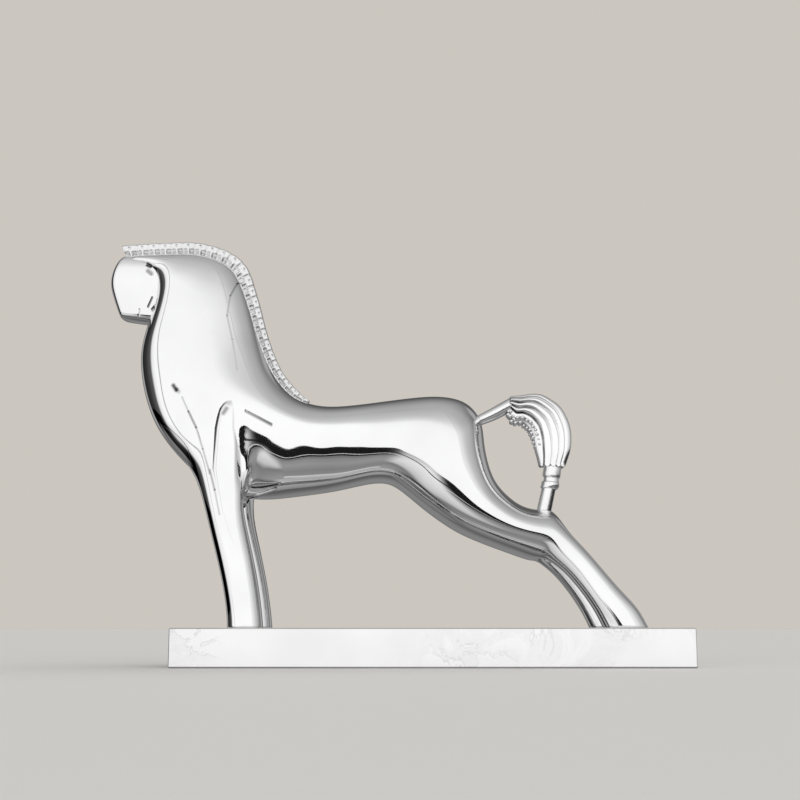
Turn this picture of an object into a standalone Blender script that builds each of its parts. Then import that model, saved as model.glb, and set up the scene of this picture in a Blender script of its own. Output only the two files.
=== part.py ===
"""Abstract horse on a slab plinth, with a notched mane and a looped, fluted tail.

Metres, +Z up. The origin is the middle of the plinth's underside, the horse faces -X.
The horse's pose and proportions are shares of its height. Walls, gaps and the plinth have
sizes of their own.
"""
import math

import bpy
import bmesh
from mathutils import Vector

# Driving sizes
FIGURE_HEIGHT = 0.318          # plinth top to the top of the mane
PLINTH_THICKNESS = 0.030
PLINTH_FRONT_MARGIN = 0.0413   # fore foot to the plinth's front end
PLINTH_REAR_MARGIN = 0.033     # hind foot to the plinth's rear end
PLINTH_SIDE_MARGIN = 0.009     # hind foot to the plinth's long side
PLINTH_EDGE_ROUND = 0.0012
FIT_GAP = 0.0003               # left between two pieces that touch
MANE_THICKNESS = 0.0086
MANE_SINK = 0.0022             # how deep the mane's foot is let into the neck
LOBE_COUNT = 24
NOTCH_DEPTH = 0.0014           # between two lobes of the mane
FLUTE_DEPTH = 0.0013           # on the tail's switch

# Fineness
SIDE_CELLS = 8                 # from the back line down one side to the belly line
RINGS_PER_SPAN = 2             # sections of the cage from one body station to the next
FORELEG_CELLS = (5, 7)         # the foreleg grows between these two rows of side cells
WEB_POINTS = 3                 # across the web between the hind legs
HEAD_CELLS = 6
TAIL_CELLS = 12
LOBE_STEPS = 3                 # sections of the mane in one lobe
CREST_STEPS = 40               # measured along the crest from one body station to the next
SMOOTH_LEVELS = 1
EDGE_SEGMENTS = 2
WELD_DISTANCE = 0.00005

# The horse's outline, in thousandths of its height: x from the middle between the plinth's ends,
# z from the plinth's top. Each station is a section through the body from a point on the back
# to a point on the belly.
# (name, back x, back z, belly x, belly z, half width, height of the widest line, belly squareness)
BODY_STATIONS = [
    ("hock ledge", 319, 296, 271, 163, 136, 0.50, 2.4),
    ("lower haunch", 238, 304, 176, 197, 134, 0.50, 2.6),
    ("haunch hollow", 167, 368, 74, 239, 134, 0.50, 2.8),
    ("haunch", 141, 457, -6, 292, 136, 0.50, 3.0),
    ("tail root", 132, 522, -58, 334, 136, 0.46, 3.0),
    ("rump", 91, 573, -104, 364, 132, 0.44, 3.2),
    ("croup", 8, 589, -158, 365, 126, 0.43, 3.0),
    ("loin", -119, 576, -245, 346, 120, 0.41, 2.9),
    ("barrel", -251, 562, -352, 331, 132, 0.36, 2.7),
    ("girth", -336, 581, -440, 325, 138, 0.31, 2.5),
    ("withers", -390, 635, -534, 345, 138, 0.36, 2.6),
    ("keel", -421, 695, -614, 404, 128, 0.44, 4.2),
    ("breast", -447, 768, -691, 493, 110, 0.50, 4.0),
    ("lower neck", -474, 853, -735, 597, 94, 0.52, 3.2),
    ("mid neck", -516, 934, -748, 710, 80, 0.52, 2.7),
    ("upper neck", -602, 970, -722, 825, 66, 0.52, 2.0),
    ("poll", -698, 971, -722, 910, 44, 0.50, 2.0),
    ("brow", -784, 966, -788, 940, 28, 0.50, 2.0),
]
SHOULDER_TOP = (-508, 540)     # the foreleg's muscle swells the side between these two points
SHOULDER_FOOT = (-520, 330)
SHOULDER_RADIUS = 42
SHOULDER_RISE = 10
FORELEG_FIRST = "girth"        # the foreleg grows from the belly between these two stations
FORELEG_LAST = "keel"

# Legs below the body: rear edge x, z, front edge x, z, middle y, half width
FORELEG_STATIONS = [
    (-468, 294, -562, 306, 113, 37),
    (-444, 200, -536, 206, 115, 36),
    (-424, 112, -511, 114, 118, 35),
    (-413, 36, -498, 36, 119, 37),
    (-410, 1, -497, 1, 119, 39),
]
HIND_LEG_STATIONS = [
    (340, 232, 293, 164, 97, 39),
    (380, 191, 327, 137, 104, 38),
    (424, 136, 361, 96, 111, 37),
    (465, 86, 386, 60, 117, 38),
    (503, 48, 403, 31, 119, 40),
    (526, 1, 417, 1, 119, 41),
]
LEG_SQUARENESS = 2.4           # of a leg's section, 2 is an ellipse
CROTCH_HALF_GAP = 16           # half the web between the hind legs at the hock ledge

# Head: front edge x, z, rear edge x, z, half width
HEAD_STATIONS = [
    (-790, 967, -716, 955, 14),
    (-812, 955, -688, 946, 29),
    (-828, 924, -670, 922, 37),
    (-834, 888, -664, 884, 40),
    (-826, 853, -666, 846, 41),
    (-811, 811, -678, 802, 40),
    (-804, 798, -688, 785, 36),
    (-792, 791, -702, 778, 18),
]
HEAD_SQUARENESS = 4.2          # flat cheeks and a flat brow

# Mane: share of the crest's length from the withers, and the height there
MANE_HEIGHTS = [(0.0, 9), (0.06, 18), (0.3, 19), (0.45, 23), (0.56, 29), (0.7, 30), (1.0, 30)]
MANE_END = 0.3                 # where the mane runs out, from the girth towards the barrel
MANE_TIP = (-798, 966)         # the crest's last point, just past the brow
MANE_TIP_LEAN = 0.45           # forward lean of the mane's free end
# Half section of the mane above its foot: share of the half thickness, share of the height
MANE_PROFILE = [(0.74, 0.30), (1.0, 0.38), (1.0, 0.80), (0.55, 0.98), (0.0, 1.0)]

# Tail: outer edge x, z, inner edge x, z, half width, flute share
TAIL_STATIONS = [
    ("root", 110, 534, 121, 512, 12, 0.0),
    ("stem", 155, 558, 168, 529, 14, 0.0),
    ("stem end", 200, 583, 213, 551, 17, 0.0),
    ("switch collar", 208, 588, 204, 538, 20, 0.6),
    ("switch", 237, 593, 214, 520, 23, 1.0),
    ("switch", 264, 597, 229, 519, 24, 1.0),
    ("switch", 289, 595, 243, 512, 24, 1.0),
    ("switch", 315, 581, 252, 503, 24, 1.0),
    ("switch", 337, 563, 259, 493, 24, 1.0),
    ("switch", 352, 538, 264, 479, 24, 1.0),
    ("switch", 361, 512, 268, 463, 24, 1.0),
    ("switch", 364, 484, 271, 447, 24, 1.0),
    ("switch", 361, 450, 275, 432, 24, 1.0),
    ("switch hem", 348, 411, 279, 414, 24, 1.0),
    ("upper cuff", 337, 409, 292, 411, 21, 0.2),
    ("upper cuff", 335, 379, 289, 383, 22, 0.2),
    ("waist", 331, 374, 292, 377, 18, 0.0),
    ("waist", 330, 368, 291, 371, 18, 0.0),
    ("lower cuff", 331, 365, 287, 369, 21, 0.2),
    ("lower cuff", 327, 350, 283, 354, 21, 0.2),
    ("rod", 322, 346, 286, 350, 18, 0.0),
    ("rod foot", 307, 281, 270, 286, 18, 0.0),
]
SWITCH_SQUARENESS = 3.4        # of the fluted sections

TINT = {
    "horse": (0.80, 0.80, 0.81),
    "tail": (0.86, 0.86, 0.87),
    "plinth": (0.84, 0.84, 0.85),
}
PLATING_ROUGHNESS = 0.06


def span(value):
    """A length given in thousandths of the figure's height."""
    return value * FIGURE_HEIGHT / 1000.0


def share(x, z):
    """A point of the outline, in metres, in the plane y = 0."""
    front, rear = plinth_ends()
    return Vector((span(x) - (front + rear) / 2.0, 0.0, PLINTH_THICKNESS + span(z)))


def smooth_between(values, position):
    """Catmull-Rom value of a list of tuples at a fractional index."""
    last = len(values) - 1
    i = min(int(position), last - 1)
    f = position - i
    a = values[max(i - 1, 0)]
    b = values[i]
    c = values[i + 1]
    d = values[min(i + 2, last)]
    return tuple(
        0.5 * (2 * q + (r - p) * f + (2 * p - 5 * q + 4 * r - s) * f * f
               + (3 * q - p - 3 * r + s) * f ** 3)
        for p, q, r, s in zip(a, b, c, d))


def run_through(rings):
    """Pushes a half cage out so that the subdivided surface passes through its points."""
    fitted = []
    for i, ring in enumerate(rings):
        new_ring = []
        for j, point in enumerate(ring):
            before = ring[j - 1] if j > 0 else mirrored(ring[1])
            after = ring[j + 1] if j + 1 < len(ring) else mirrored(ring[-2])
            draw_in = before + after - 2 * point
            if 0 < i < len(rings) - 1:
                draw_in = draw_in + rings[i - 1][j] + rings[i + 1][j] - 2 * point
            new_ring.append(point - draw_in / 6.0)
        fitted.append(new_ring)
    return fitted


def mirrored(point):
    return Vector((point.x, -point.y, point.z))


def half_ring(start, end, half_width, cells, widest=0.5, squareness=2.0, upper=2.0):
    """Points from one outline point round the near side (-y) to the other."""
    points = []
    for j in range(cells + 1):
        angle = math.pi * j / cells
        power = 2.0 / (squareness if angle > math.pi / 2 else upper)
        out = math.sin(angle) ** power if 0 < j < cells else 0.0
        along = abs(math.cos(angle)) ** power
        if angle <= math.pi / 2:
            share_down = widest * (1.0 - along)
        else:
            share_down = widest + (1.0 - widest) * along
        point = start.lerp(end, share_down)
        points.append(Vector((point.x, -half_width * out, point.z)))
    return points


def leg_ring(rear, front, middle, half_width, angles):
    """A closed section of a leg, swollen by what subdivision will draw in."""
    centre = (rear + front) / 2.0
    swell = 3.0 / (2.0 + math.cos(2.0 * math.pi / len(angles)))
    to_rear = (rear - centre) * swell
    power = 2.0 / LEG_SQUARENESS
    points = []
    for angle in angles:
        along = math.copysign(abs(math.sin(angle)) ** power, math.sin(angle))
        out = math.copysign(abs(math.cos(angle)) ** power, math.cos(angle))
        point = centre + to_rear * along
        points.append(Vector((point.x, -middle - swell * half_width * out, point.z)))
    return points


def add_strip(mesh, lower, upper, closed=False):
    """Quads between two rows of vertices."""
    count = len(lower)
    for j in range(count if closed else count - 1):
        k = (j + 1) % count
        mesh.faces.new((lower[j], lower[k], upper[k], upper[j]))


def add_leg(mesh, loop, stations, angles):
    """A leg from a loop of vertices down to its flat, sharp-edged foot."""
    crease = mesh.edges.layers.float.get("crease_edge") or mesh.edges.layers.float.new("crease_edge")
    for rear_x, rear_z, front_x, front_z, middle, half_width in stations:
        ring = leg_ring(share(rear_x, rear_z), share(front_x, front_z),
                        span(middle), span(half_width), angles)
        row = [mesh.verts.new(point) for point in ring]
        add_strip(mesh, loop, row, closed=True)
        loop = row
    for vert in loop:
        vert.co.z = PLINTH_THICKNESS + FIT_GAP
    foot = mesh.faces.new(loop)
    for edge in foot.edges:
        edge[crease] = 1.0


def body_rings():
    keys = [station[1:] for station in BODY_STATIONS]
    rings = []
    for i in range((len(keys) - 1) * RINGS_PER_SPAN + 1):
        values = smooth_between(keys, i / RINGS_PER_SPAN)
        back_x, back_z, belly_x, belly_z, half_width, widest, squareness = values
        ring = half_ring(share(back_x, back_z), share(belly_x, belly_z), span(half_width),
                         SIDE_CELLS, widest, squareness)
        for point in ring[1:-1]:
            point.y -= shoulder_swell(point)
        rings.append(ring)
    return rings


def shoulder_swell(point):
    """Extra width over the foreleg's upper muscle, fading out away from its line."""
    top = share(*SHOULDER_TOP)
    line = share(*SHOULDER_FOOT) - top
    flat = Vector((point.x, 0.0, point.z)) - top
    along = min(max(flat.dot(line) / line.length_squared, 0.0), 1.0)
    distance = (flat - line * along).length
    return span(SHOULDER_RISE) * math.exp(-(distance / span(SHOULDER_RADIUS)) ** 2)


def station_ring(name):
    return [station[0] for station in BODY_STATIONS].index(name) * RINGS_PER_SPAN


def near_half_of_horse():
    """Body, neck and legs of the near side, open at y = 0."""
    mesh = bmesh.new()
    rows = [[mesh.verts.new(point) for point in ring] for ring in run_through(body_rings())]
    first = station_ring(FORELEG_FIRST) + 1
    last = station_ring(FORELEG_LAST)
    outer, inner = FORELEG_CELLS
    for i in range(len(rows) - 1):
        for j in range(SIDE_CELLS):
            under_foreleg = first <= i < last and outer <= j < inner
            if not under_foreleg:
                mesh.faces.new((rows[i][j], rows[i][j + 1], rows[i + 1][j + 1], rows[i + 1][j]))
    mesh.faces.new(rows[-1])

    middle = (outer + inner) // 2
    loop = [rows[first][j] for j in range(outer, inner + 1)]
    loop += [rows[i][inner] for i in range(first + 1, last + 1)]
    loop += [rows[last][j] for j in range(inner - 1, outer - 1, -1)]
    loop += [rows[i][outer] for i in range(last - 1, first, -1)]
    step = 2.0 * math.pi / len(loop)
    angles = [math.pi / 2 + step * (k - (middle - outer)) for k in range(len(loop))]
    add_leg(mesh, loop, FORELEG_STATIONS, angles)

    ledge = rows[0]
    wall = []
    web = []
    for k in range(1, WEB_POINTS + 1):
        point = ledge[0].co.lerp(ledge[-1].co, k / (WEB_POINTS + 1))
        web.append(mesh.verts.new(point))
        wall.append(mesh.verts.new((point.x, -span(CROTCH_HALF_GAP), point.z)))
    add_strip(mesh, [ledge[0], *web, ledge[-1]], [ledge[1], *wall, ledge[-2]])
    loop = ledge[1:-1] + wall[::-1]
    step = 2.0 * math.pi / len(loop)
    angles = [step * (SIDE_CELLS // 2 - 1 - k) for k in range(len(loop))]
    add_leg(mesh, loop, HIND_LEG_STATIONS, angles)
    return mesh


def lofted_half(rings):
    """A closed loft of half rings, open at y = 0, with flat ends."""
    mesh = bmesh.new()
    rows = [[mesh.verts.new(point) for point in ring] for ring in rings]
    for lower, upper in zip(rows, rows[1:]):
        add_strip(mesh, lower, upper)
    mesh.faces.new(rows[0])
    mesh.faces.new(rows[-1])
    return mesh


def near_half_of_head():
    rings = [half_ring(share(front_x, front_z), share(rear_x, rear_z), span(half_width),
                       HEAD_CELLS, squareness=HEAD_SQUARENESS, upper=HEAD_SQUARENESS)
             for front_x, front_z, rear_x, rear_z, half_width in HEAD_STATIONS]
    return lofted_half(run_through(rings))


def crest_path(steps):
    """Points along the top of the neck, evenly spaced, from the withers to past the brow."""
    keys = [station[1:3] for station in BODY_STATIONS]
    start = [station[0] for station in BODY_STATIONS].index("girth") - MANE_END
    raw = []
    for k in range(CREST_STEPS * (len(keys) - 1) + 1):
        position = k / CREST_STEPS
        if position >= start:
            raw.append(share(*smooth_between(keys, position)))
    raw.append(share(*MANE_TIP))
    lengths = [0.0]
    for a, b in zip(raw, raw[1:]):
        lengths.append(lengths[-1] + (b - a).length)
    points = []
    k = 0
    for i in range(steps + 1):
        wanted = lengths[-1] * i / steps
        while k < len(raw) - 2 and lengths[k + 1] < wanted:
            k += 1
        points.append(raw[k].lerp(raw[k + 1], (wanted - lengths[k]) / (lengths[k + 1] - lengths[k])))
    return points


def mane_height(portion):
    """Height of the mane at a share of its length, straight between the listed places."""
    for (a, low), (b, high) in zip(MANE_HEIGHTS, MANE_HEIGHTS[1:]):
        if portion <= b:
            return span(low + (high - low) * (portion - a) / (b - a))
    return span(MANE_HEIGHTS[-1][1])


def near_half_of_mane():
    steps = LOBE_COUNT * LOBE_STEPS
    path = crest_path(steps)
    rings = []
    for i, foot in enumerate(path):
        before = path[max(i - 1, 0)]
        after = path[min(i + 1, steps)]
        along = (after - before).normalized()
        up = Vector((along.z, 0.0, -along.x))
        up = (up + along * MANE_TIP_LEAN * max(0.0, 1.0 - (steps - i) / LOBE_STEPS)).normalized()
        in_notch = 1.0 if i % LOBE_STEPS == 0 else 0.0
        height = mane_height(i / steps)
        top = height - NOTCH_DEPTH * in_notch * min(1.0, height / span(MANE_HEIGHTS[-1][1]))
        half = (MANE_THICKNESS - NOTCH_DEPTH * in_notch) / 2.0
        foot_half = half * MANE_PROFILE[0][0]
        profile = [(0.0, -MANE_SINK), (foot_half, -MANE_SINK)]
        profile += [(half * out, top * rise) for out, rise in MANE_PROFILE]
        rings.append([foot + up * rise + Vector((0.0, -out, 0.0)) for out, rise in profile])
    return lofted_half(rings)


def near_half_of_tail():
    rings = []
    for _, outer_x, outer_z, inner_x, inner_z, half_width, fluting in TAIL_STATIONS:
        outer = share(outer_x, outer_z)
        inner = share(inner_x, inner_z)
        squareness = SWITCH_SQUARENESS if fluting == 1.0 else 2.0
        ring = half_ring(outer, inner, span(half_width), TAIL_CELLS, squareness=squareness,
                         upper=squareness)
        for j in range(1, TAIL_CELLS, 2):
            ring[j].y += FLUTE_DEPTH * fluting
        rings.append(ring)
    return lofted_half(rings)


def chrome(name):
    material = bpy.data.materials.new(name + " plating")
    material.use_nodes = True
    shader = material.node_tree.nodes["Principled BSDF"]
    shader.inputs["Base Color"].default_value = (*TINT[name], 1.0)
    shader.inputs["Metallic"].default_value = 1.0
    shader.inputs["Roughness"].default_value = PLATING_ROUGHNESS
    return material


def collection(name):
    made = bpy.data.collections.new(name)
    bpy.context.scene.collection.children.link(made)
    return made


def add_object(mesh, name, home):
    bmesh.ops.recalc_face_normals(mesh, faces=mesh.faces)
    data = bpy.data.meshes.new(name)
    mesh.to_mesh(data)
    mesh.free()
    made = bpy.data.objects.new(name, data)
    home.objects.link(made)
    return made


def add_mirror(thing):
    mirror = thing.modifiers.new("both sides", "MIRROR")
    mirror.use_axis = (False, True, False)
    mirror.use_clip = True
    mirror.merge_threshold = WELD_DISTANCE


def add_subdivision(thing):
    smooth = thing.modifiers.new("smooth form", "SUBSURF")
    smooth.levels = SMOOTH_LEVELS
    smooth.render_levels = SMOOTH_LEVELS


def add_boolean(thing, operation, other):
    cut = thing.modifiers.new(operation.lower() + " " + other.name, "BOOLEAN")
    cut.operation = operation
    cut.object = other


def as_guide(thing):
    thing.hide_render = True
    thing.display_type = "WIRE"


def swollen_copy(thing, name, home, gap):
    """A mesh copy of a finished piece, grown all over by a gap, to trim its neighbour with."""
    bpy.context.view_layer.update()
    finished = thing.evaluated_get(bpy.context.evaluated_depsgraph_get())
    copy = bpy.data.objects.new(name, bpy.data.meshes.new_from_object(finished))
    home.objects.link(copy)
    swell = copy.modifiers.new("gap", "DISPLACE")
    swell.strength = gap
    swell.mid_level = 0.0
    as_guide(copy)
    return copy


def plinth_ends():
    """Both ends of the plinth along x, before the object is centred on it."""
    front_foot = min(station[2] for station in FORELEG_STATIONS[-2:])
    rear_foot = max(station[0] for station in HIND_LEG_STATIONS)
    return span(front_foot) - PLINTH_FRONT_MARGIN, span(rear_foot) + PLINTH_REAR_MARGIN


def add_plinth(home):
    front, rear = plinth_ends()
    middle, half_width = HIND_LEG_STATIONS[-1][4:]
    width = 2.0 * (span(middle + half_width) + PLINTH_SIDE_MARGIN)
    mesh = bmesh.new()
    bmesh.ops.create_cube(mesh, size=1.0)
    bmesh.ops.scale(mesh, vec=(rear - front, width, PLINTH_THICKNESS), verts=mesh.verts)
    bmesh.ops.translate(mesh, vec=(0.0, 0.0, PLINTH_THICKNESS / 2.0), verts=mesh.verts)
    plinth = add_object(mesh, "plinth", home)
    edges = plinth.modifiers.new("softened edges", "BEVEL")
    edges.width = PLINTH_EDGE_ROUND
    edges.segments = EDGE_SEGMENTS
    plinth.data.materials.append(chrome("plinth"))


def build():
    for thing in list(bpy.data.objects):
        bpy.data.objects.remove(thing, do_unlink=True)
    figure = collection("abstract horse sculpture")
    guides = collection("forms joined and trimmed with")

    head = add_object(near_half_of_head(), "head form", guides)
    add_mirror(head)
    add_subdivision(head)
    as_guide(head)
    mane = add_object(near_half_of_mane(), "mane form", guides)
    add_mirror(mane)
    as_guide(mane)

    horse = add_object(near_half_of_horse(), "horse", figure)
    add_mirror(horse)
    add_subdivision(horse)
    add_boolean(horse, "UNION", head)
    add_boolean(horse, "UNION", mane)
    horse.data.materials.append(chrome("horse"))

    tail = add_object(near_half_of_tail(), "tail", figure)
    add_mirror(tail)
    add_boolean(tail, "DIFFERENCE", swollen_copy(horse, "horse with its gap", guides, FIT_GAP))
    tail.data.materials.append(chrome("tail"))
    add_plinth(figure)


build()
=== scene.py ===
import bisect
import math
import random

import bmesh
import bpy
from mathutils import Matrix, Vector


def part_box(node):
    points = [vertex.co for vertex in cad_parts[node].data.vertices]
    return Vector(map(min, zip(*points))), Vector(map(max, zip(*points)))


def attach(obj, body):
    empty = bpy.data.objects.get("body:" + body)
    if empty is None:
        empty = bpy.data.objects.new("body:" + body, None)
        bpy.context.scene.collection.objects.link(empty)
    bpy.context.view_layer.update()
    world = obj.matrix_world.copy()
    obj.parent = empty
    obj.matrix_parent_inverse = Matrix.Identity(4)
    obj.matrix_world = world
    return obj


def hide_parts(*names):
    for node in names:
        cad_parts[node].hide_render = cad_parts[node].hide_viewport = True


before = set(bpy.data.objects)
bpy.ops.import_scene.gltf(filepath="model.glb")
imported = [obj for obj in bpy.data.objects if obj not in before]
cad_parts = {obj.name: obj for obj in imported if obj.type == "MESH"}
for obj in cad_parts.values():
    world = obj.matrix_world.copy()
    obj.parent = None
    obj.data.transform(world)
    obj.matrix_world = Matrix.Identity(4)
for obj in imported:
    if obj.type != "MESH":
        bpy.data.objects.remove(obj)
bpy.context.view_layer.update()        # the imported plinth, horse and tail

print("frame loaded")

plinthLow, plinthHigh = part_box("plinth")

# Everything on the horse is measured in thousandths of its height: x from the drawing's own
# zero, z from the plinth's top. place() turns such a point into metres.
figure = {
    "height": 0.318,
    "rearMargin": 0.033,      # hind foot to the plinth's rear end
    "rearFoot": 526,          # x of the hind foot's rear edge
    "fitGap": 0.0003,         # plinth to the feet, in metres
    "weld": 0.00005,          # distance at which mirrored points are joined
}


def span(value):
    return value * figure["height"] / 1000.0


figureZero = plinthHigh.x - figure["rearMargin"] - span(figure["rearFoot"])


def place(x, z):
    return Vector((span(x) + figureZero, 0.0, plinthHigh.z + span(z)))


def smoothBetween(rows, position):
    # Catmull-Rom through a list of rows of numbers
    last = len(rows) - 1
    i = min(int(position), last - 1)
    f = position - i
    before, here = rows[max(i - 1, 0)], rows[i]
    there, after = rows[i + 1], rows[min(i + 2, last)]
    return [0.5 * (2 * q + (r - p) * f + (2 * p - 5 * q + 4 * r - s) * f ** 2
                   + (3 * q - p - 3 * r + s) * f ** 3)
            for p, q, r, s in zip(before, here, there, after)]


def fade(value, low, high):
    # 0 below low, 1 above high, smooth between
    share = min(max((value - low) / (high - low), 0.0), 1.0)
    return share * share * (3.0 - 2.0 * share)


# Small tools for pieces

def alone(piece):
    bpy.ops.object.select_all(action="DESELECT")
    piece.select_set(True)
    bpy.context.view_layer.objects.active = piece


def newPiece(name, mesh):
    bmesh.ops.recalc_face_normals(mesh, faces=mesh.faces)
    data = bpy.data.meshes.new(name)
    mesh.to_mesh(data)
    mesh.free()
    piece = bpy.data.objects.new(name, data)
    bpy.context.scene.collection.objects.link(piece)
    return piece


def applyModifier(piece, kind, **settings):
    modifier = piece.modifiers.new(kind.lower(), kind)
    for key, value in settings.items():
        setattr(modifier, key, value)
    alone(piece)
    bpy.ops.object.modifier_apply(modifier=modifier.name)


def mirrorAndSmooth(piece, levels):
    applyModifier(piece, "MIRROR", use_axis=(False, True, False), use_clip=True,
                  merge_threshold=figure["weld"])
    applyModifier(piece, "SUBSURF", levels=levels, render_levels=levels)
    alone(piece)
    bpy.ops.object.shade_smooth()


def carve(mesh, strokes):
    # soft hollows and swellings along lines of the drawing, on both sides of a smooth mesh
    lines = [(place(*start), place(*end), span(radius), span(rise))
             for start, end, radius, rise in strokes]
    nothing, full = (place(x, 0).x for x in horse["strokesFrom"])
    for vert in mesh.verts:
        push = 0.0
        for start, end, radius, rise in lines:
            line = end - start
            offset = Vector((vert.co.x, 0.0, vert.co.z)) - start
            along = min(max(offset.dot(line) / line.length_squared, 0.0), 1.0)
            gap = (offset - line * along).length / radius
            if gap < horse["strokeReach"]:
                push += rise * math.exp(-gap * gap)
        facing = min(abs(vert.normal.y) * horse["strokeFacing"], 1.0)
        push *= fade(vert.co.x, nothing, full) * facing
        vert.co.y += push * math.copysign(1.0, vert.co.y)


def addStrip(mesh, lower, upper, closed=False):
    count = len(lower)
    for j in range(count if closed else count - 1):
        k = (j + 1) % count
        mesh.faces.new((lower[j], lower[k], upper[k], upper[j]))


# Horse: a cage lofted between unlike sections, one side only, then mirrored and subdivided

horse = {
    # back x, z, belly x, z, half width, height of the widest line, squareness below it
    "stations": [
        (319, 296, 271, 163, 136, 0.50, 2.4),
        (238, 304, 176, 197, 134, 0.50, 2.6),
        (167, 368, 74, 239, 134, 0.50, 2.8),
        (141, 457, -6, 292, 136, 0.50, 3.0),
        (132, 522, -58, 334, 136, 0.46, 3.0),
        (91, 573, -104, 364, 132, 0.44, 3.2),
        (8, 589, -158, 365, 126, 0.43, 3.0),
        (-119, 576, -245, 346, 120, 0.41, 2.9),
        (-251, 562, -352, 331, 132, 0.36, 2.7),
        (-336, 581, -440, 325, 138, 0.31, 2.5),
        (-390, 635, -534, 345, 138, 0.36, 2.6),
        (-421, 695, -614, 404, 128, 0.44, 4.2),
        (-447, 768, -691, 493, 110, 0.50, 4.0),
        (-474, 853, -735, 597, 94, 0.52, 3.2),
        (-516, 934, -748, 710, 80, 0.52, 2.7),
        (-602, 970, -722, 825, 66, 0.52, 2.0),
        (-698, 971, -722, 910, 44, 0.50, 2.0),
        (-784, 966, -788, 940, 28, 0.50, 2.0),
    ],
    "ringsPerSpan": 2,
    "sideCells": 8,
    "webCells": 4,                # across the closed end between the hind legs
    "shoulder": {"top": (-508, 540), "foot": (-520, 330), "radius": 60, "rise": 4},
    "forelegRings": (19, 22),     # cage rings and cells between which the foreleg grows
    "forelegCells": (5, 7),
    # rear x, z, front x, z, middle y, half width
    "foreleg": [
        (-468, 294, -562, 306, 113, 37),
        (-444, 200, -536, 206, 115, 36),
        (-424, 112, -511, 114, 118, 35),
        (-413, 36, -498, 36, 119, 37),
        (-410, 1, -497, 1, 119, 39),
    ],
    "hindLeg": [
        (340, 232, 293, 164, 97, 39),
        (380, 191, 327, 137, 104, 38),
        (424, 136, 361, 96, 111, 37),
        (465, 86, 386, 60, 117, 38),
        (503, 48, 403, 31, 119, 40),
        (526, 1, 417, 1, 119, 41),
    ],
    "legSquareness": 2.4,
    "crotchHalfGap": 16,          # middle plane to the hind legs' inner sides
    "levels": 3,
    # hollows and swellings: from x, z, to x, z, radius, rise
    "strokes": [((-473, 459), (-464, 384), 28, -5.9), ((-463, 459), (-454, 384), 20, 2.2),
                ((-472, 409), (-432, 384), 48, -8.4), ((-403, 387), (-373, 377), 48, 5.4),
                ((-403, 417), (-269, 401), 36, 1.3), ((-270, 475), (-213, 479), 36, -2.4)],
    "strokesFrom": (-488, -468),  # x where they fade in, behind the foreleg
    "strokeReach": 3.0,           # radii past which a stroke no longer counts
    "strokeFacing": 1.5,          # how fast strokes fade where the side turns away
}

# the upper foreleg stands off the shoulder, up to a round top
shoulders = {
    # z, middle x, half width, rise
    "stations": [(575, -504, 1, -3), (558, -504, 4, 0.0), (552, -505, 12, 2.6),
                 (540, -508, 18, 4.8), (520, -510, 22, 6.2), (490, -512, 25, 6.5),
                 (446, -508, 30, 6.0), (388, -505, 34, 5.0), (350, -498, 31, 4.2),
                 (287, -487, 26, 3.2), (200, -462, 22, 1.8), (120, -441, 17, -1.0)],
    "window": (-575, -415, 122, 574),     # x from, to, z from, to
    "facing": -0.2,                       # normal's y up to which the side is kept
    "crown": 3,                           # power of the round top's profile
    "sink": -2.0,                         # how far the rest lies below the body's surface
    "levels": 4,
}


def halfRing(start, end, halfWidth, cells, widest=0.5, squareness=2.0, upper=2.0):
    # points from one outline point round the near side to the other; squareness is that
    # of the half past the widest line, upper that of the half before it
    points = []
    for j in range(cells + 1):
        angle = math.pi * j / cells
        below = angle > math.pi / 2
        power = 2.0 / (squareness if below else upper)
        out = math.sin(angle) ** power if 0 < j < cells else 0.0
        along = abs(math.cos(angle)) ** power
        down = widest + (1.0 - widest) * along if below else widest * (1.0 - along)
        middle = start.lerp(end, down)
        points.append(Vector((middle.x, -halfWidth * out, middle.z)))
    return points


def runThrough(rings):
    # pushes a half cage out, so that the subdivided surface passes through its points:
    # smoothing draws a point in by about a sixth of what its neighbours stand off it
    def flip(point):
        return Vector((point.x, -point.y, point.z))

    fitted = []
    for i, ring in enumerate(rings):
        row = []
        for j, point in enumerate(ring):
            before = ring[j - 1] if j else flip(ring[1])
            after = ring[j + 1] if j + 1 < len(ring) else flip(ring[-2])
            drawIn = before + after - 2 * point
            if 0 < i < len(rings) - 1:
                drawIn = drawIn + rings[i - 1][j] + rings[i + 1][j] - 2 * point
            row.append(point - drawIn / 6.0)
        fitted.append(row)
    return fitted


def shoulderSwell(point):
    shoulder = horse["shoulder"]
    top = place(*shoulder["top"])
    line = place(*shoulder["foot"]) - top
    flat = Vector((point.x, 0.0, point.z)) - top
    along = min(max(flat.dot(line) / line.length_squared, 0.0), 1.0)
    distance = (flat - line * along).length
    return span(shoulder["rise"]) * math.exp(-(distance / span(shoulder["radius"])) ** 2)


def bodyRings():
    rings = []
    spans = len(horse["stations"]) - 1
    for i in range(spans * horse["ringsPerSpan"] + 1):
        values = smoothBetween(horse["stations"], i / horse["ringsPerSpan"])
        backX, backZ, bellyX, bellyZ, halfWidth, widest, squareness = values
        ring = halfRing(place(backX, backZ), place(bellyX, bellyZ), span(halfWidth),
                        horse["sideCells"], widest, squareness)
        for point in ring[1:-1]:
            point.y -= shoulderSwell(point)
        rings.append(ring)
    return rings


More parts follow.
